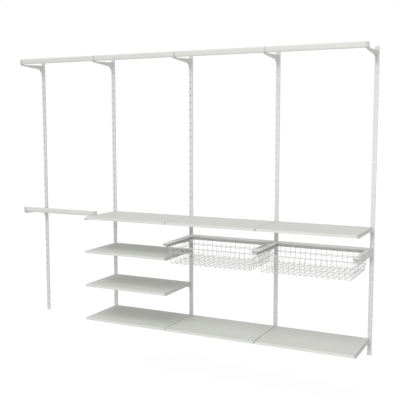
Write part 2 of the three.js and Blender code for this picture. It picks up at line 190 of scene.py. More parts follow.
def shifted(shape, x, z=0.0):
    """The same shape, moved along the wall and up."""
    points, corners, sizes = shape
    return points + np.array([x, 0.0, z]), corners, sizes


def mesh_from(name, shape):
    """A Blender mesh from arrays, without the points that no face uses."""
    points, corners, sizes = shape
    used, corners = np.unique(corners, return_inverse=True)
    mesh = bpy.data.meshes.new(name)
    mesh.vertices.add(len(used))
    mesh.vertices.foreach_set("co", points[used].astype(np.float32).ravel())
    mesh.loops.add(len(corners))
    mesh.loops.foreach_set("vertex_index", corners.astype(np.int32).ravel())
    mesh.polygons.add(len(sizes))
    mesh.polygons.foreach_set("loop_start", (np.cumsum(sizes) - sizes).astype(np.int32))
    mesh.update(calc_edges=True)
    mesh.validate()
    return mesh


def values_of(items, name, width=1, kind=float):
    """One value, or one row of them, for each vertex, corner or face of a mesh."""
    values = np.empty(len(items) * width, kind)
    items.foreach_get(name, values)
    return values.reshape(-1, width) if width > 1 else values


print("a grid of 3 by 4 points has", len(patch(np.zeros((3, 4, 3)))[2]), "quads")

# %% [markdown]
# ## Thickness, soft edges and an even shine
#
# Real sheet has a thickness and its cut edges are rounded by the coat. Solidify and Bevel do
# both, and their result is read back as arrays, so that a shape worked out once can be set down
# in many places. A face's corners then take the shading direction of the largest faces that
# meet there, as on a real fold, where the flat sheet stays flat up to the bend.

# %% Modifiers and shading
def worked(shape, wall=0.0, edge=0.3 * mm):
    """The shape with the sheet's thickness laid half on each side, and its edges rounded."""
    mesh = mesh_from("work", shape)
    work = add_object("work", mesh)
    if wall:
        sheet = work.modifiers.new("sheet", "SOLIDIFY")
        sheet.thickness = wall
        sheet.offset = 0
        sheet.use_even_offset = True
    coat = work.modifiers.new("coat", "BEVEL")
    coat.width = edge
    coat.segments = 2
    coat.limit_method = "ANGLE"
    coat.angle_limit = math.radians(40)
    done = work.evaluated_get(bpy.context.evaluated_depsgraph_get()).to_mesh()
    points = values_of(done.vertices, "co", 3)
    corners = values_of(done.loops, "vertex_index", kind=np.int32)
    sizes = values_of(done.polygons, "loop_total", kind=np.int32)
    bpy.data.objects.remove(work)
    bpy.data.meshes.remove(mesh)
    return points, corners, sizes


def shade_evenly(mesh, sharp=math.radians(38)):
    """Each corner takes the sum of (area times normal) over the faces round its point, unless
    that leans more than the sharp angle away from its own face, and then keeps its face's."""
    corners = values_of(mesh.loops, "vertex_index", kind=np.int32)
    sizes = values_of(mesh.polygons, "loop_total", kind=np.int32)
    own = np.repeat(values_of(mesh.polygons, "normal", 3), sizes, axis=0)
    weight = np.repeat(values_of(mesh.polygons, "area"), sizes)[:, None]
    total = np.zeros((len(mesh.vertices), 3))
    np.add.at(total, corners, own * weight)
    shared = total[corners] / np.maximum(np.linalg.norm(total[corners], axis=1, keepdims=True), 1e-15)
    close = (shared * own).sum(1, keepdims=True) > math.cos(sharp)
    mesh.polygons.foreach_set("use_smooth", np.ones(len(sizes), bool))
    mesh.normals_split_custom_set(np.where(close, shared, own).tolist())


def make_piece(name, shape, paint, stands_for=(), body=wall_body):
    """A finished piece at the origin, with its place in its mesh, that rides on a body."""
    mesh = mesh_from(name, shape)
    shade_evenly(mesh)
    mesh.materials.append(paint)
    piece = add_object(name, mesh)
    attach(piece, body)
    if stands_for:
        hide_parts(*stands_for)
    return piece


def middle_x(node):
    """The middle of a CAD node along the wall."""
    low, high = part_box(node)
    return (low.x + high.x) / 2


def place_at(node, ending, shape, paint, body=wall_body):
    """A shape worked out about x = 0, moved to the middle of the node that it stands for."""
    return make_piece(f"{node}_{ending}", shifted(shape, middle_x(node)), paint, [node], body)


uprights = [f"upright_{number}" for number in range(1, 6)]
print("the uprights stand at x =", [round(middle_x(node), 4) for node in uprights])

# %% [markdown]
# ## White powder coat
#
# Powder is blown on dry and melts in an oven, so the coat has a faint orange peel about a
# millimetre across, and slight clouds where it is thicker. Gloss differs by part: shelves are
# fine-textured, rods and wire come out smoother. The paint is one function of three noises:
# large clouds for colour, a middle size for gloss and a fine one for bump, all in object
# coordinates in metres, so the grain has a real size.

# %% The paints
def node_of(tree, kind, **values):
    """A shader node with its values set by name. A socket as a value is linked instead."""
    node = tree.nodes.new(kind)
    for key, value in values.items():
        if isinstance(value, bpy.types.NodeSocket):
            tree.links.new(value, node.inputs[key])
        elif key in node.inputs:
            node.inputs[key].default_value = value
        else:
            setattr(node, key, value)
    return node


def noise_of(tree, source, scale, detail, stretch=(1, 1, 1)):
    """Noise with features about one part in scale of a metre, stretched along an axis."""
    mapping = node_of(tree, "ShaderNodeMapping", Vector=source, Scale=stretch)
    vector = mapping.outputs["Vector"]
    noise = node_of(tree, "ShaderNodeTexNoise", Vector=vector, Scale=scale, Detail=detail)
    return noise.outputs["Fac"]


def paint_of(name, colour, gloss, peel_size, peel_depth, cloud=0.04, rub=False, recess_painted_shade=0.0):
    """Powder coat. Colour is the written colour times 1 - cloud * noise; roughness runs over
    the two gloss values with a middle noise; bump is a fine noise peel_size across and
    peel_depth high. Rub adds long faint streaks along the wall, where hangers slide. Where the
    mesh's own attribute marks a recess, the colour is darker by that share: painted shade for its shadow."""
    paint = bpy.data.materials.new(name)
    paint.use_nodes = True
    tree = paint.node_tree
    shader = tree.nodes["Principled BSDF"]
    place = tree.nodes.new("ShaderNodeTexCoord").outputs["Object"]
    clouded = (*(value * (1 - cloud) for value in colour), 1)
    mix = node_of(
        tree, "ShaderNodeMix", data_type="RGBA", A=(*colour, 1), B=clouded,
        Factor=noise_of(tree, place, scale=7.0, detail=4.0))
    # painted shade: faces marked as in the recess get a darker colour for the shadow there
    if recess_painted_shade:
        painted_shade_mark = node_of(tree, "ShaderNodeAttribute", attribute_name="recess_painted_shade")
        mix = node_of(
            tree, "ShaderNodeMix", data_type="RGBA", blend_type="MULTIPLY", A=mix.outputs["Result"],
            B=(1 - recess_painted_shade, 1 - recess_painted_shade, 1 - recess_painted_shade, 1), Factor=painted_shade_mark.outputs["Fac"])
    tree.links.new(mix.outputs["Result"], shader.inputs["Base Color"])
    if rub:
        wear = noise_of(tree, place, scale=240.0, detail=3.0, stretch=(0.04, 1, 1))
    else:
        wear = noise_of(tree, place, scale=60.0, detail=3.0)
    sheen = node_of(tree, "ShaderNodeMapRange", Value=wear, **{
        "From Min": 0.3, "From Max": 0.7, "To Min": gloss[0], "To Max": gloss[1]})
    tree.links.new(sheen.outputs["Result"], shader.inputs["Roughness"])
    peel = noise_of(tree, place, scale=1 / peel_size, detail=1.0)
    bump = node_of(tree, "ShaderNodeBump", Strength=0.6, Distance=peel_depth, Height=peel)
    tree.links.new(bump.outputs["Normal"], shader.inputs["Normal"])
    return paint


powder = {"peel_size": 1.1 * mm, "peel_depth": 0.05 * mm}
plastic = {"peel_size": 0.5 * mm, "peel_depth": 0.02 * mm, "cloud": 0.02}
bracket_coat = paint_of("bracket coat", (0.628, 0.633, 0.619), (0.38, 0.50), **powder)
# painted light and shade: the frame's white is lighter than the other steel's, standing in for light on
# the bead under the shelf, and its recess is darker for the shadow in it
frame_coat_painted_light_and_shade = paint_of("frame coat, painted light and shade", (0.9, 0.905, 0.89), (0.36, 0.48), recess_painted_shade=0.28, **powder)
white_steel = paint_of("white powder coat", (0.686, 0.691, 0.677), (0.36, 0.48), **powder)
shelf_coat = paint_of("fine-textured coat", (0.644, 0.653, 0.616), (0.5, 0.62), 0.7 * mm, 0.07 * mm)
rod_coat = paint_of("smooth rod coat", (0.652, 0.652, 0.633), (0.30, 0.42), 1.4 * mm, 0.03 * mm, rub=True)
wire_coat = paint_of("wire coat", (0.58, 0.58, 0.57), (0.28, 0.40), 1.6 * mm, 0.05 * mm)
# painted shade: the plugs' dark grey stands in for the shadow inside the hollow ends of rails and brackets
plug_painted_shade = paint_of("dark plug, painted shade", (0.38, 0.38, 0.37), (0.50, 0.60), **plastic)
cap_plastic = paint_of("moulded plastic", (0.53, 0.54, 0.52), (0.42, 0.52), **plastic)
print("paints:", [paint.name for paint in bpy.data.materials])

# %% [markdown]
# ## The uprights
#
# A real upright is a strip of steel punched with slots and rolled into a channel with two
# lips that lie on the wall. The same order works here: the section is a bent line, carried
# up the height, and the slots are quads left out of the front. Round slot ends come from
# moving the square hole's border points onto a circle, which keeps the grid whole.

# %% The upright's section
upright_low, upright_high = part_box("upright_3")
sheet_wall = 1.5 * mm
upright_lip = 10.7 * mm
upright_fold = 1.6 * mm
slot_pitch = 48 * mm
slot_half_width = 2.25 * mm
slot_half_height = 7.5 * mm
slot_count = 40
slot_centres = slot_pitch * np.arange(1, slot_count + 1)
screw_radius = 3 * mm
screw_heights = slot_centres[[2, 20, 36]] + slot_pitch / 2


def upright_section():
    """Lip, side and half the web as a bent line, then the web's own points, then the mirror."""
    side = upright_high.x - sheet_wall / 2
    front = upright_low.y + sheet_wall / 2
    back = upright_high.y - sheet_wall / 2
    corners = [(upright_lip - upright_high.x, back), (-side, back), (-side, front), (0, front)]
    half = bent(corners, upright_fold, 4)[:-1]
    web = np.column_stack([slot_half_width * np.linspace(-1, 1, 5), np.full(5, front)])
    return np.vstack([half, web, (half * [-1, 1])[::-1]])


print("section points:", len(upright_section()))

# %% Slots and screw holes in the grid
def upright_sheet():
    """The section (x, y) carried up z, with holes. A hole is a square-ended window whose border
    points move to p * radius / |p|, where p is measured from the nearer end's centre."""
    a = slot_half_width
    ends = np.array([slot_half_height, slot_half_height - a / 2, slot_half_height - a])
    heights = np.unique(np.concatenate([
        [upright_low.z, upright_high.z],
        (slot_centres[:, None] + np.concatenate([-ends, ends])).ravel(),
        (screw_heights[:, None] + a * np.linspace(-1, 1, 5)).ravel()]).round(7))
    section = upright_section()
    points = grid_of(section[:, 0], section[:, 1], heights[:, None])
    x, y, z = np.moveaxis(points.copy(), -1, 0)
    middle_of_quad = (points[:-1, :-1] + points[1:, 1:]) / 2
    in_web = middle_of_quad[..., 1] < upright_low.y + sheet_wall
    keep = np.ones(middle_of_quad.shape[:2], bool)
    holes = [(centre, slot_half_height - a, a) for centre in slot_centres]
    holes += [(centre, 0.0, screw_radius) for centre in screw_heights]
    for centre, straight, radius in holes:
        rise = z - centre
        past = np.sign(rise) * np.maximum(np.abs(rise) - straight, 0)
        reach = np.maximum(np.abs(x), np.abs(past))
        border = np.isclose(reach, a, atol=1e-6) & (y < upright_low.y + sheet_wall)
        scale = np.where(border, radius / np.maximum(np.hypot(x, past), 1e-9), 1)
        points[..., 0] *= scale
        points[..., 2] += past * (scale - 1)
        level = np.abs(middle_of_quad[..., 2] - centre) < straight + a
        inside = level & (np.abs(middle_of_quad[..., 0]) < a)
        keep &= ~(inside & in_web)
    return patch(points, keep=keep)


upright_shape = worked(upright_sheet(), wall=sheet_wall)
for node in uprights:
    place_at(node, "sheet", upright_shape, white_steel)
print("faces in an upright:", len(upright_shape[2]))

# %% [markdown]
# ## Wall screws
#
# Three pan-head screws hold each upright. A head is a height over a disc: a flat dome that
# falls away at the rim, minus a cross recess. A polar grid gives both with one formula.

# %% Screw heads
screw_head_radius = 4.6 * mm
screw_head_height = 2.2 * mm
screw_sunk = 0.4 * mm
cross_depth = 1.3 * mm
cross_half_width = 0.62 * mm
cross_reach = 2.3 * mm


def screw_head():
    """Height over a disc of radius R: H * (1 - (r/R)^4)^0.5 - depth where the smaller of |x|, |z|
    is under half the cross's width and the larger under its reach, with short slopes."""
    share = np.sin(np.linspace(0, math.pi / 2, 15))[:, None]
    angle = np.linspace(0, 2 * math.pi, 40, endpoint=False)[None, :]
    r = share * screw_head_radius
    x, z = r * np.cos(angle), r * np.sin(angle)
    narrow, wide = np.minimum(np.abs(x), np.abs(z)), np.maximum(np.abs(x), np.abs(z))
    side_slope = np.clip((cross_half_width - narrow) / (0.2 * mm), 0, 1)
    end_slope = np.clip((cross_reach - wide) / (0.5 * mm), 0, 1)
    dome = screw_head_height * np.sqrt(np.clip(1 - share ** 4, 0, 1))
    height = dome - cross_depth * side_slope * end_slope
    disc = grid_of(x, upright_low.y - height, z)
    flange = disc[-1:] * [1, 0, 1] + [0, upright_low.y + screw_sunk, 0]
    return patch(np.concatenate([disc[1:], flange])[::-1], wrap_across=True, ends=True)


one_screw = screw_head()
for node in uprights:
    heads = [shifted(one_screw, middle_x(node), height) for height in screw_heights]
    make_piece(f"{node}_screws", joined(*heads), white_steel)
print("screws:", len(uprights) * len(screw_heights))

# %% [markdown]
# ## The brackets
#
# A basket or rod bracket is one blank folded into a channel, deep at the upright and shallow at
# the tip. Its lower edges sweep down to the upright in a quarter of an ellipse and are turned in
# until they nearly meet, which stiffens them, and two hooks reach through the slots. The arm is
# a grid: one direction runs along it, the other goes up a side, over the folds and down again,
# and only the lower edge depends on both.

# %% The folded arm
bracket_wall = 1.6 * mm
bracket_half = 10 * mm
bracket_fold = 1.8 * mm
bracket_lip = 8.2 * mm
lip_fold = 1 * mm
tip_round = 5 * mm
tip_web = 3.7 * mm
seat_gap = 0.3 * mm
plate_back = upright_low.y - seat_gap


def lower_edge(top, foot, front, root, tip, gusset, seat):
    """The arm's lower edge as (y, z): straight under the back plate, then for a quarter turn y =
    plate - gusset * (1 - cosine) and z = foot + (top - root - foot) * sine, a straight taper down
    to the tip's depth with a point under the seat's inner end, and a tip rounded as far as its
    depth allows."""
    corner = min(tip_round, tip - tip_web)
    turn = np.linspace(0, math.pi / 2, 11)
    sweep = np.column_stack([
        plate_back - bracket_wall - gusset * (1 - np.cos(turn)),
        foot + (top - root - foot) * np.sin(turn)])
    end = front + bracket_wall / 2
    y = np.append(np.linspace(sweep[-1, 0], front + seat, 6)[1:], end + corner)
    share = (y - sweep[-1, 0]) / (end + corner - sweep[-1, 0])
    straight = np.column_stack([y, sweep[-1, 1] + share * (top - tip - sweep[-1, 1])])
    round_off = np.radians(np.linspace(0, 80, 6))[1:]
    tail = np.column_stack([
        end + corner * (1 - np.sin(round_off)), top - tip + corner * (1 - np.cos(round_off))])
    start = [(plate_back - bracket_wall / 2, foot)]
    return np.vstack([start, sweep, straight, tail, [(end, tail[-1, 1])]])


def folded_arm(top, edge, seat, crest):
    """Grid [along the arm, round the section]: the top fold is the same at each station, lifted by
    crest * (way from the seat to the plate), and the turned-in lips follow the lower edge. The
    face that closes the root is the back plate."""
    side = bracket_half - bracket_wall / 2
    lip = side - bracket_lip
    seat_end = edge[:, 0].min() - bracket_wall / 2 + seat
    lift = crest * np.clip((edge[:, :1] - seat_end) / (plate_back - bracket_wall - seat_end), 0, 1)
    roof = top - bracket_wall / 2
    shallow = edge[:, 1].max()
    lower = bent([(-lip, shallow), (-side, shallow), (-side, shallow + 2 * lip_fold)], lip_fold, 3)[:-1]
    upper = bent([(-side, shallow), (-side, roof), (side, roof), (side, shallow)], bracket_fold, 4)[1:-1]
    section = np.vstack([lower, upper, (lower * [-1, 1])[::-1]])
    z = section[:, 1] + lift
    count = len(lower)
    z[:, :count] = edge[:, 1:] + lower[:, 1] - shallow
    z[:, -count:] = z[:, count - 1::-1]
    arm = patch(grid_of(section[:, 0], edge[:, :1], z))
    return with_face(arm, np.arange(len(section)))


def bar(outline, start, end, axis=0):
    """A closed outline carried from start to end, turned so that its faces point outwards: in y
    and z and along x for axis 0, in x and z and along y for axis 1."""
    outline = np.asarray(outline, float)
    u, v = outline.T
    turns_left = (u * np.roll(v, -1) - v * np.roll(u, -1)).sum() > 0
    if turns_left == (axis == 0):
        u, v = u[::-1], v[::-1]
    way = np.array([[start], [end]])
    grid = grid_of(way, u, v) if axis == 0 else grid_of(u, way, v)
    return patch(grid, wrap_across=True, ends=True)


print("a bracket's lips are", round(bracket_lip / mm, 1), "mm wide")

# %% Hooks, and a whole bracket
hook_thick = 3.2 * mm
hook_neck = 6 * mm
hook_drop = 7 * mm
hook_bill = 3 * mm


def hook(slot_edge):
    """A neck that passes the slot just above its lower edge, and a bill that drops behind it."""
    low, high = slot_edge + seat_gap, slot_edge + seat_gap + hook_neck
    start = plate_back - bracket_wall / 2
    inside = upright_low.y + sheet_wall + seat_gap
    behind = inside + hook_bill
    outline = [
        (start, low), (inside, low), (inside, low - hook_drop), (behind, low - hook_drop),
        (behind, high), (start, high)]
    outline = bent(outline, 0.9 * mm, 3, closed=True)
    return worked(bar(outline, -hook_thick / 2, hook_thick / 2))


def slot_edge_near(height):
    """The lower edge of the highest slot that starts at or below a height."""
    edges = slot_centres - slot_half_height
    return edges[edges <= height].max()


def bracket(top, foot, front, hook_below, root, tip, gusset, seat=20 * mm, crest=0.0):
    """The arm, and its hooks in two neighbouring slots. The upper hook's slot starts at the first
    edge that lies hook_below under the arm's top, or lower."""
    edge = lower_edge(top, foot, front, root, tip, gusset, seat)
    arm = worked(folded_arm(top, edge, seat, crest), wall=bracket_wall, edge=0.35 * mm)
    upper = slot_edge_near(top - hook_below)
    return joined(arm, hook(upper), hook(upper - slot_pitch))


print("a hook's bill drops by", round(hook_drop / mm), "mm")

# %% [markdown]
# ## Slim arms for the shelves
#
# Seen from the right, hardly anything shows under a shelf's end. So the arm there is a blank
# folded double: its web stands in the gap between two shelves, and its two narrow feet carry
# their rims. A short channel at the root joins it to the upright. Only the bracket under the low
# rod's saddle is a channel all along, because the saddle clips over its side.

# %% Shelf and basket brackets
arm_foot = 4.6 * mm
web_half = 1.0 * mm
web_fold = 0.98 * web_half
web_rise = 9 * mm
web_round = 7 * mm
shoulder_reach = 52 * mm
shoulder_seat = 10 * mm
saddle_seat = "shelf_bracket_top_2"
shelf_hook_below = 8 * mm
shelf_profile = {"root": 19 * mm, "tip": 4.5 * mm, "gusset": 14 * mm}


def doubled_arm(top, front):
    """Grid [along the arm, round the section]: a foot, up the web, over its fold and down to the
    other foot. At the tip the fold drops by r * (1 - cosine) while the arm runs on by r * sine."""
    turn = np.radians(np.linspace(0, 80, 7))
    start = np.linspace(plate_back - bracket_wall / 2, front + web_round, 6)[:-1]
    along = np.concatenate([start, front + web_round * (1 - np.sin(turn))])
    drop = np.concatenate([np.zeros(len(start)), web_round * (1 - np.cos(turn))])
    foot, fold = top - bracket_wall / 2, top + web_rise
    corners = [
        (-arm_foot, foot), (-web_half, foot), (-web_half, fold), (web_half, fold), (web_half, foot),
        (arm_foot, foot)]
    section = bent(corners, web_fold, 4)
    z = section[:, 1] - drop[:, None] * (section[:, 1] > (foot + fold) / 2)
    arm = patch(grid_of(section[:, 0], along[:, None], z))
    return worked(arm, wall=bracket_wall, edge=0.35 * mm)


def shelf_bracket_shape(node, slim=True):
    """The doubled arm on its short channel, or a channel all along, with two hooks."""
    low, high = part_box(node)
    if not slim:
        return bracket(high.z, low.z, low.y, shelf_hook_below, **shelf_profile)
    shoulder_tip = upright_low.y - shoulder_reach
    shoulder = bracket(
        high.z - bracket_wall, low.z, shoulder_tip, shelf_hook_below - bracket_wall,
        seat=shoulder_seat, **shelf_profile)
    return joined(doubled_arm(high.z, low.y), shoulder)


shelf_rows = {"top": [2, 3, 4], "upper_mid": [2], "lower_mid": [2], "bottom": [2, 3, 4]}
for row, bays in shelf_rows.items():
    for number in (*bays, bays[-1] + 1):
        node = f"shelf_bracket_{row}_{number}"
        shape = shelf_bracket_shape(node, slim=node != saddle_seat)
        place_at(node, "fold", shape, bracket_coat)
low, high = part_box("basket_bracket_3")
basket_top = high.z
basket_profile = {"root": 40 * mm, "tip": 16 * mm, "gusset": 22 * mm}
shape = bracket(basket_top, low.z, low.y, hook_below=28 * mm, **basket_profile)
for number in (3, 4, 5):
    place_at(f"basket_bracket_{number}", "fold", shape, bracket_coat)
print("faces in a basket bracket:", len(shape[2]))

# %% [markdown]
# ## Rods, cups and caps
#
# A clothes rod here is a flat-sided oval tube, taller than deep, so that it doesn't sag. It
# lies in a strap cup on the tip of a rod bracket. A tube's ends are drawn in a little, for a
# moulded sleeve: the rods meet end to end over the brackets in one, and the free ends carry
# caps with a slightly domed face.

# %% The oval and the rods
rod_low, rod_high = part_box("rod_top_2")
rod_wall = 1.2 * mm
rod_radius = (rod_high.y - rod_low.y) / 2
rod_middle = (rod_high.y + rod_low.y) / 2


def carried_along_x(rings):
    """Rings given as (x, outline in y and z) put in a row as one grid."""
    return np.stack([grid_of(x, line[:, 0], line[:, 1]) for x, line in rings])


def oval(rod, shrink):
    """Two half circles of radius R - shrink, one over the other, joined by the flat sides."""
    low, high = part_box(rod)
    radius = rod_radius - shrink
    upper = arc((rod_middle, high.z - rod_radius), radius, 0, 180, 12)
    lower = arc((rod_middle, low.z + rod_radius), radius, 180, 360, 12)
    return np.vstack([upper, lower])[::-1]


def ovals(rod, rings):
    """Ovals given as (x, shrink) put in a row round a rod's middle line."""
    return carried_along_x([(x, oval(rod, shrink)) for x, shrink in rings])


joint_neck = 8 * mm
cap_neck = 13 * mm
neck_depth = 0.7 * mm


def rod_shape(node, left_neck, right_neck):
    """The oval's middle line along the wall, smaller by the neck's depth over each end."""
    low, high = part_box(node)
    left, right = low.x + left_neck, high.x - right_neck
    wide, narrow = rod_wall / 2, rod_wall / 2 + neck_depth
    grid = ovals(node, [
        (low.x, narrow), (left - neck_depth, narrow), (left, wide),
        (right, wide), (right + neck_depth, narrow), (high.x, narrow)])
    return worked(patch(grid, wrap_across=True), wall=rod_wall, edge=0.25 * mm)


rod_necks = {
    "rod_top_1": (cap_neck, joint_neck), "rod_top_2": (joint_neck, joint_neck),
    "rod_top_3": (joint_neck, joint_neck), "rod_top_4": (joint_neck, cap_neck),
    "rod_low": (cap_neck, cap_neck)}
for node, (left_neck, right_neck) in rod_necks.items():
    make_piece(f"{node}_tube", rod_shape(node, left_neck, right_neck), rod_coat, [node])
print("rods:", len(rod_necks))

# %% The caps of the free ends
cap_flange = 8 * mm
cap_dome = 4 * mm
moulded_slack = 0.2 * mm
sleeve_inside = neck_depth - 0.1 * mm


def cap_shape(node, rod, side):
    """Ovals shrunk along x: a chamfered plug in the tube, back out over the tube's drawn-in end,
    and a face rounded off by a quarter circle, dome * (1 - sine) deep where it is dome * (1 -
    cosine) smaller. Side is 1 where the plug points to +X."""
    low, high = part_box(node)
    face = low.x if side > 0 else high.x
    length = high.x - low.x
    plug = rod_wall + neck_depth + moulded_slack
    seat = cap_flange - moulded_slack
    mouth = cap_flange + cap_neck - neck_depth
    rings = [
        (length, plug + 1.2 * mm), (length - 1.5 * mm, plug), (seat, plug), (seat, sleeve_inside),
        (mouth, sleeve_inside), (mouth, 0.2 * mm), (mouth - 0.3 * mm, 0.0), (cap_dome, 0.0)]
    turn = np.radians(np.linspace(12, 90, 8))
    rings += [(cap_dome * (1 - np.sin(t)), cap_dome * (1 - np.cos(t))) for t in turn]
    grid = ovals(rod, [(face + side * way, shrink) for way, shrink in rings])
    return patch(grid[::-1] if side > 0 else grid, wrap_across=True, ends=True)


for node, rod, side in (
        ("rod_cap_top_left", "rod_top_1", 1), ("rod_cap_top_right", "rod_top_4", -1),
        ("rod_cap_low_left", "rod_low", 1), ("rod_cap_low_right", "rod_low", -1)):
    make_piece(f"{node}_dome", cap_shape(node, rod, side), cap_plastic, [node])
print("caps: 4")

# %% The sleeves that join the top rods
def joint_shape(left_rod, right_rod):
    """A ring of oval section: its outside is flush with the tubes, its inside lies on their
    drawn-in ends, and its mouths are chamfered by 0.2 mm."""
    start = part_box(left_rod)[1].x - joint_neck + neck_depth
    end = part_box(right_rod)[0].x + joint_neck - neck_depth
    chamfer = 0.2 * mm
    grid = ovals(left_rod, [
        (start, sleeve_inside), (start, chamfer), (start + chamfer, 0.0),
        (end - chamfer, 0.0), (end, chamfer), (end, sleeve_inside)])
    return patch(grid, wrap_along=True, wrap_across=True)


for left, right in ((1, 2), (2, 3), (3, 4)):
    shape = joint_shape(f"rod_top_{left}", f"rod_top_{right}")
    make_piece(f"rod_joint_{left}_{right}", shape, cap_plastic)
print("rod joints: 3")

# %% Rod brackets with their strap cups
cup_wall = 1.6 * mm
cup_lip = 6 * mm
rod_hook_below = 11 * mm
rod_profile = {"root": 19 * mm, "tip": 5.5 * mm, "gusset": 52 * mm}
highest_crest = 10 * mm


def under_rod(bottom, radius, steps):
    """An arc round the rod's lower half circle, open at the top where the cup's lips end."""
    half_turn = math.degrees(math.acos((rod_radius - cup_lip) / radius))
    centre = (rod_middle, bottom + rod_radius)
    return arc(centre, radius, -90 - half_turn, -90 + half_turn, steps)


def rod_bracket_shape(node, rod):
    """A bracket whose tip carries the strap. The arm's top is one cup wall under the rod."""
    low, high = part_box(node)
    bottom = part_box(rod)[0].z
    top = bottom - seat_gap - cup_wall
    crest = min(high.z - top, highest_crest)
    line = under_rod(bottom, rod_radius + seat_gap + cup_wall / 2, 16)
    strap = carried_along_x([(-bracket_half, line), (bracket_half, line)])
    seat = 2 * (rod_radius + seat_gap + cup_wall)
    arm = bracket(top, low.z, low.y, rod_hook_below, seat=seat, crest=crest, **rod_profile)
    return joined(arm, worked(patch(strap), wall=cup_wall, edge=0.35 * mm))


shape = rod_bracket_shape("rod_bracket_top_1", "rod_top_1")
for number in range(1, len(uprights) + 1):
    place_at(f"rod_bracket_top_{number}", "fold", shape, bracket_coat)
shape = rod_bracket_shape("rod_bracket_low", "rod_low")
place_at("rod_bracket_low", "fold", shape, bracket_coat)
print("faces in a rod bracket:", len(shape[2]))

# %% [markdown]
# ## The saddle of the low rod
#
# The low rod's right end has no rod bracket: a moulded saddle clips over the shelf bracket and
# cradles it. It is a thick plastic part, so it is made as solid outlines with soft edges, not
# as sheet.

# %% The saddle
skirt_wall = 1.5 * mm


def saddle_shape():
    """A cradle outline (an arc cut into a block) carried along x, and a skirt down the
    bracket's side."""
    low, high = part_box("rod_saddle_low")
    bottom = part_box("rod_low")[0].z
    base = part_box(saddle_seat)[1].z + seat_gap
    hollow = under_rod(bottom, rod_radius + seat_gap, 14)[::-1]
    cradle = np.vstack([[(low.y, high.z), (low.y, base), (high.y, base), (high.y, high.z)], hollow])
    skirt = rounded_box(low.y, high.y, low.z, base + 0.5 * mm, 1 * mm, 3)
    return joined(
        worked(bar(cradle, low.x, high.x), edge=0.4 * mm),
        worked(bar(skirt, low.x, low.x + skirt_wall)))


node = "rod_saddle_low"
make_piece(f"{node}_moulding", saddle_shape(), cap_plastic, [node])
print("the saddle stands on", saddle_seat)

# %% [markdown]
# ## The shelves
#
# A shelf is a shallow tray pressed from one sheet: a flat top, a rounded fold all round and a
# rim turned down, whose lower edge starts to curl in. The profile is carried round a rectangle
# with small round corners, and the flat top is closed by one face. The tray runs back almost to
# the uprights' fronts, a little further than its solid.

# %% Pressed trays
shelf_fold = 3.3 * mm
shelf_corner = 4.5 * mm
shelf_fitting = 0.4 * mm
shelf_deeper = 18.5 * mm
shelf_curl = 1.2 * mm
least_corner = 0.4 * mm
corner_points = 7


def tray_loop(half_length, front, back, inset, height):
    """At a height, the rectangle moved inwards by inset, its corners' radius smaller by it."""
    x = half_length - inset
    radius = max(shelf_corner - inset, least_corner)
    line = rounded_box(-x, x, front + inset, back - inset, radius, corner_points - 1)
    return grid_of(line[:, 0], line[:, 1], height)


def shelf_shape(node):
    """Grid [down the profile, round the tray]. The fold is inset r * (1 - sine), drop
    r * (1 - cosine). The rim's lower edge is the start of a like turn: its first step goes all
    round, and of the second only a tab one quad wide is there, at the front's left end."""
    low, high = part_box(node)
    half_length = (high.x - low.x) / 2 - sheet_wall / 2 - shelf_fitting
    front, back = low.y + sheet_wall / 2, high.y + shelf_deeper - sheet_wall / 2
    top, bottom = high.z - sheet_wall / 2, low.z + sheet_wall / 2
    turn = np.radians(np.linspace(0, 90, 7))
    fold, curl = turn[:, None], turn[:3, None]
    profile = np.vstack([
        np.hstack([shelf_fold * (1 - np.sin(fold)), top - shelf_fold * (1 - np.cos(fold))]),
        np.hstack([shelf_curl * (1 - np.cos(curl)), bottom + shelf_curl * (1 - np.sin(curl))])])
    loops = np.stack([tray_loop(half_length, front, back, inset, z) for inset, z in profile])
    keep = np.ones((len(profile) - 1, loops.shape[1]), bool)
    keep[-1] = False
    keep[-1, -corner_points] = True
    rim = patch(loops[:, ::-1], wrap_across=True, keep=keep)
    tray = with_face(rim, np.arange(loops.shape[1]))
    return worked(tray, wall=sheet_wall, edge=0.25 * mm)


for row, bays in shelf_rows.items():
    shape = shelf_shape(f"shelf_{row}_{bays[0]}")
    for bay in bays:
        place_at(f"shelf_{row}_{bay}", "tray", shape, shelf_coat)
print("faces in a shelf:", len(shape[2]))

# %% [markdown]
# ## The basket frames
#
# Each basket hangs in three rails with one folded section: a ledge that carries the basket's
# rim, an upright web and a bead that leans inwards and folds back, which stiffens the sheet and
# keeps the rim down. The side rails also have a flange that lies on the bracket. The section
# is a bent line, and the rails meet in a mitre: each point of the section simply stops as far
# from the corner as it lies inwards.

# %% The rails
frame_low, frame_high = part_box("basket_back_rail_3")
frame_wall = 1.5 * mm
flange_reach = 10 * mm
frame_top = frame_high.z - 2 * mm
ledge_drop = 6 * mm
ledge_reach = 6.7 * mm
bead_reach = 12.6 * mm
bead_drop = 12.5 * mm
bead_return = 8.6 * mm
level_strip = 6.2 * mm
rail_bend = 1.3 * mm


def rail_section():
    """(inwards, height): along the ledge, up the web, over a narrow level strip, down the bead's
    steep upper side and back under it at 45 degrees, with a soft bend at each corner."""
    middle = frame_wall / 2
    top, bottom = frame_top - middle, frame_low.z + middle - ledge_drop
    edge = top - bead_drop
    return bent([
        (ledge_reach, bottom), (middle, bottom), (middle, top), (level_strip, top), (bead_reach, edge),
        (bead_reach - bead_return, edge - bead_return)], rail_bend, 4)


inwards, height = rail_section().T
mitre_gap = seat_gap * math.sqrt(2)


def rail_sheet(x, y, z):
    """Sheet steel along a grid."""
    return worked(patch(grid_of(x, y, z)), wall=frame_wall)


def outer_face(node, side):
    """Where a runner's web begins along the wall. Side is 1 where the basket is to its right."""
    low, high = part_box(node)
    return middle_x(node) - side * ((high.x - low.x) / 2 - flange_reach)


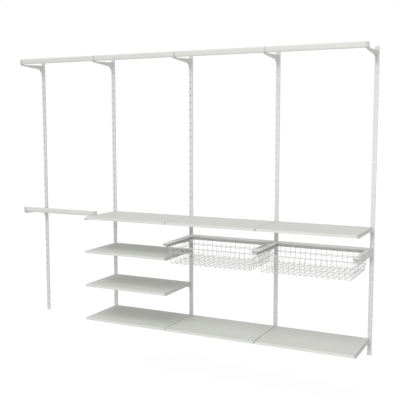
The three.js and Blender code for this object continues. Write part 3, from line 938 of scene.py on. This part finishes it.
def runner_shape(node, side):
    """A side rail along y, and its flange. The rail's points start at the back rail's outer face
    less their distance inwards."""
    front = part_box(node)[0].y
    outer = outer_face(node, side)
    y = np.linspace(frame_high.y - mitre_gap - inwards, front, 4)
    seat = basket_top + seat_gap + frame_wall / 2
    flange_x = outer - side * np.array([[flange_reach], [-0.3 * mm]])
    flange_y = np.array([front, frame_high.y - mitre_gap])
    return joined(
        rail_sheet(outer + side * inwards, y, height), rail_sheet(flange_x, flange_y, seat))


def back_rail_shape(node):
    """The back rail along x, mitred at both ends."""
    low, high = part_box(node)
    x = np.linspace(low.x + inwards, high.x - inwards, 4)
    return rail_sheet(x, frame_high.y - inwards, height)


def make_rail(node, shape, axis, outer, side):
    """A rail whose faces past the web and under the bead's edge are marked for painted shade, the
    shadow in the recess. A face lies side * (its place along the axis - the outer face's) inwards."""
    piece = make_piece(f"{node}_fold", shape, frame_coat_painted_light_and_shade, [node])
    centres = values_of(piece.data.polygons, "center", 3)
    way_in = side * (centres[:, axis] - outer)
    bead_edge = frame_top - frame_wall / 2 - bead_drop
    # painted shade: these faces take the darker colour that stands for the shadow in the recess
    inside = (way_in > 0.8 * frame_wall) & (centres[:, 2] < bead_edge)
    painted_shade_mark = piece.data.attributes.new("recess_painted_shade", "FLOAT", "FACE")
    painted_shade_mark.data.foreach_set("value", inside.astype(np.float32))


for bay in (3, 4):
    for name, side in (("left", 1), ("right", -1)):
        node = f"basket_runner_{name}_{bay}"
        make_rail(node, runner_shape(node, side), 0, outer_face(node, side), side)
    node = f"basket_back_rail_{bay}"
    make_rail(node, back_rail_shape(node), 1, frame_high.y, -1)
print("rail section points:", len(height))

# %% Plugs in the front ends
plug_length = 9 * mm


def make_plug(node, outline, set_back):
    """A plug with soft edges that starts a little behind the node's front end."""
    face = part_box(node)[0].y + set_back
    shape = worked(bar(outline, face, face + plug_length, axis=1))
    # painted shade: the plug is dark for the shadow in the hollow end it closes
    make_piece(f"{node}_plug", shape, plug_painted_shade)


def bead_outline():
    """(inwards, height) of the bead's hollow: the web, the level strip and the two leaning sides,
    each drawn in by half a wall and a slack. A leaning side moves in by that over the cosine of
    its lean."""
    drawn_in = frame_wall / 2 + 0.3 * mm
    top = frame_top - frame_wall / 2
    lean = math.atan2(bead_reach - level_strip, bead_drop)
    web, ceiling = frame_wall / 2 + drawn_in, top - drawn_in
    upper_x = level_strip + drawn_in * math.tan(lean) - drawn_in / math.cos(lean)
    fall = bead_reach - (top - bead_drop) - drawn_in * math.sqrt(2)
    nose_z = (ceiling * math.tan(lean) + upper_x - fall) / (1 + math.tan(lean))
    corners = [(web, ceiling), (upper_x, ceiling), (nose_z + fall, nose_z), (web, web - fall)]
    return bent(corners, 0.6 * mm, 3, closed=True)


def tip_outline():
    """The hollow between a basket bracket's sides, at its tip."""
    slack = 0.2 * mm
    side = bracket_half - bracket_wall - slack
    ceiling = basket_top - bracket_wall - slack
    sill = basket_top - basket_profile["tip"] + bracket_wall + 3 * slack
    return rounded_box(-side, side, sill, ceiling, 1.2 * mm, 3)


for bay in (3, 4):
    for name, side in (("left", 1), ("right", -1)):
        node = f"basket_runner_{name}_{bay}"
        outline = bead_outline() * [side, 1] + [outer_face(node, side), 0]
        make_plug(node, outline, set_back=1.5 * mm)
for number in (3, 4, 5):
    node = f"basket_bracket_{number}"
    make_plug(node, tip_outline() + [middle_x(node), 0], set_back=3 * mm)
print("plugs: 7")

# %% [markdown]
# ## The wire baskets
#
# A basket is a thick rim wire with thinner wires hung inside it, welded where they cross and
# then coated. Each wire is a circle carried along a bent line. Wires of one kind differ only
# in their place, so one array holds them all.

# %% Round wire
def wires(paths, across, diameter, sides=8, closed=False):
    """Circles along flat paths [wire, point, xyz]: point + radius * (cosine * across + sine *
    (across x tangent)), where across is square to the plane that the paths lie in."""
    step = np.roll(paths, -1, -2) - np.roll(paths, 1, -2) if closed else np.gradient(paths, axis=-2)
    tangent = unit(step)
    across = np.asarray(across, float)
    sideways = np.cross(across, tangent)
    angle = 2 * math.pi * (np.arange(sides) + 0.5) / sides
    circle = np.cos(angle)[:, None] * across + np.sin(angle)[:, None] * sideways[..., None, :]
    rings = paths[..., None, :] + diameter / 2 * circle
    return patch(rings, wrap_along=closed, wrap_across=True, ends=not closed)


rim_wire = 6 * mm
mesh_wire = 2.8 * mm
weld_depth = 0.8 * mm
print("wires in mm:", round(rim_wire / mm, 1), "and", round(mesh_wire / mm, 1))

# %% A basket in its frame
cross_wires = 17
length_wires = 8
ring_shares = (0.35, 0.641, 0.715)
end_inset = 6 * mm
wall_lean = np.array([-15, 13, -13]) * mm
wire_bend = 9 * mm
ring_corner = 12 * mm


def basket_shape(node):
    """Rim, front-to-back wires, side-to-side wires under them, and rings round the outside, about
    x = 0. A place is (half the length, front, back); the walls lean, so that a ring's place is
    the bottom's plus its share of the way to the rim's."""
    low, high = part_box(node)
    top = high.z - rim_wire / 2 - ledge_drop
    bottom = low.z + mesh_wire * 1.5 - weld_depth
    step = (rim_wire + mesh_wire) / 2 - weld_depth
    layer = mesh_wire - weld_depth
    outwards = np.array([1, -1, 1])
    rim = np.array([(high.x - low.x - rim_wire) / 2, low.y + rim_wire / 2, high.y - rim_wire / 2])
    top_place = rim - step * outwards
    low_place = top_place + wall_lean
    (top_half, top_front, top_back), (low_half, low_front, low_back) = top_place, low_place

    x = np.linspace(end_inset - low_half, low_half - end_inset, cross_wires)
    side_line = bent(
        [(top_front, top), (low_front, bottom), (low_back, bottom), (top_back, top)], wire_bend)
    cross = grid_of(x[:, None], side_line[:, 0], side_line[:, 1])
    y = np.linspace(low_front + end_inset, low_back - end_inset, length_wires)
    under = bottom - layer
    front_line = bent(
        [(-top_half, top), (-low_half, under), (low_half, under), (top_half, top)], wire_bend)
    length = grid_of(front_line[:, 0], y[:, None], front_line[:, 1])

    def ring(share, diameter, step_out, sides):
        """A closed loop round the basket at a share of its height."""
        half, front, back = low_place + (top_place - low_place) * share + outwards * step_out
        loop = rounded_box(-half, half, front, back, ring_corner, 6)
        path = grid_of(loop[:, 0], loop[:, 1], bottom + (top - bottom) * share)
        return wires(path[None], (0, 0, 1), diameter, sides, closed=True)

    return joined(
        wires(cross, (1, 0, 0), mesh_wire), wires(length, (0, 1, 0), mesh_wire),
        ring(1, rim_wire, step, 12), *[ring(share, mesh_wire, layer, 8) for share in ring_shares])


for node, body in (("basket_3", left_body), ("basket_4", right_body)):
    shape = basket_shape(node)
    place_at(node, "wires", shape, wire_coat, body)
print("faces in a basket:", len(shape[2]))

# %% [markdown]
# ## Floor, backdrop and light
#
# The photograph has a plain white ground. The floor and the world are white to the camera and
# in reflections only, by their Light Path, so that whiteness doesn't flood the closet. A soft
# sky and a broad sun from above shade the steel as the photograph does. A big round panel stands
# at the right in front, so near that its light falls off towards the closet's left end, and the
# floor's own grey part keeps the closet's shadow.

# %% The world and the floor
def mix_by_eye(tree, plain, seen, output, share=1.0):
    """The output gets the plain shader, mixed with a share of the seen one on camera, glossy and
    transmission rays."""
    path = tree.nodes.new("ShaderNodeLightPath").outputs
    eye = path["Is Camera Ray"]
    for ray in ("Is Glossy Ray", "Is Transmission Ray"):
        total = node_of(tree, "ShaderNodeMath", operation="ADD", use_clamp=True)
        tree.links.new(eye, total.inputs[0])
        tree.links.new(path[ray], total.inputs[1])
        eye = total.outputs[0]
    part = node_of(tree, "ShaderNodeMath", operation="MULTIPLY")
    part.inputs[1].default_value = share
    tree.links.new(eye, part.inputs[0])
    choice = tree.nodes.new("ShaderNodeMixShader")
    for socket, source in zip(choice.inputs, (part, plain, seen)):
        tree.links.new(source.outputs[0], socket)
    tree.links.new(choice.outputs[0], tree.nodes[output].inputs["Surface"])


world = bpy.data.worlds.new("studio")
world.use_nodes = True
bpy.context.scene.world = world
tree = world.node_tree
sky = tree.nodes["Background"]
sky.inputs["Color"].default_value = (1, 1, 1, 1)
sky.inputs["Strength"].default_value = 0.5
white = node_of(tree, "ShaderNodeBackground", Color=(1, 1, 1, 1), Strength=1.0)
mix_by_eye(tree, sky, white, "World Output")

floor_drop = 0.35
floor_reach = 60.0
floor_share_lit = 0.22
floor_paint = bpy.data.materials.new("floor white")
floor_paint.use_nodes = True
tree = floor_paint.node_tree
tree.nodes.remove(tree.nodes["Principled BSDF"])
ground = node_of(tree, "ShaderNodeBsdfDiffuse", Color=(0.8, 0.8, 0.8, 1))
glow = node_of(tree, "ShaderNodeEmission", Color=(1, 1, 1, 1), Strength=1.14)
mix_by_eye(tree, ground, glow, "Material Output", 1 - floor_share_lit)
floor_level = cad_low.z - floor_drop
span = floor_reach * np.array([-1, 1])
plane = grid_of(span[:, None], span, floor_level)
floor = add_object("floor", mesh_from("floor", patch(plane)))
floor.data.materials.append(floor_paint)
print("floor at", round(floor_level, 3), "m")

# %% The sun and the panel
def lamp_from(name, kind, place, aim, strength, **values):
    """A lamp that shines from its place to its aim: it tilts by arctangent (level / up) and then
    turns about the upright axis. Its other values are set by name."""
    data = bpy.data.lights.new(name, kind)
    data.energy = strength
    for key, value in values.items():
        setattr(data, key, value)
    lamp = add_object(name, data)
    x, y, z = np.subtract(place, aim)
    lamp.location = place
    lamp.rotation_euler = math.atan2(math.hypot(x, y), z), 0, math.atan2(x, -y)
    return lamp


lamp_from("key", "SUN", (-0.05, -0.65, 1.0), (0, 0, 0), 1.33, angle=math.radians(40))
panel = lamp_from("front panel", "AREA", (2.0, -5.0, 1.8), (0, 0, 1), 73, shape="DISK", size=2.3)
panel.visible_camera = False
bpy.context.scene.view_settings.view_transform = "Standard"
print("lights:", [lamp.name for lamp in bpy.data.lights])
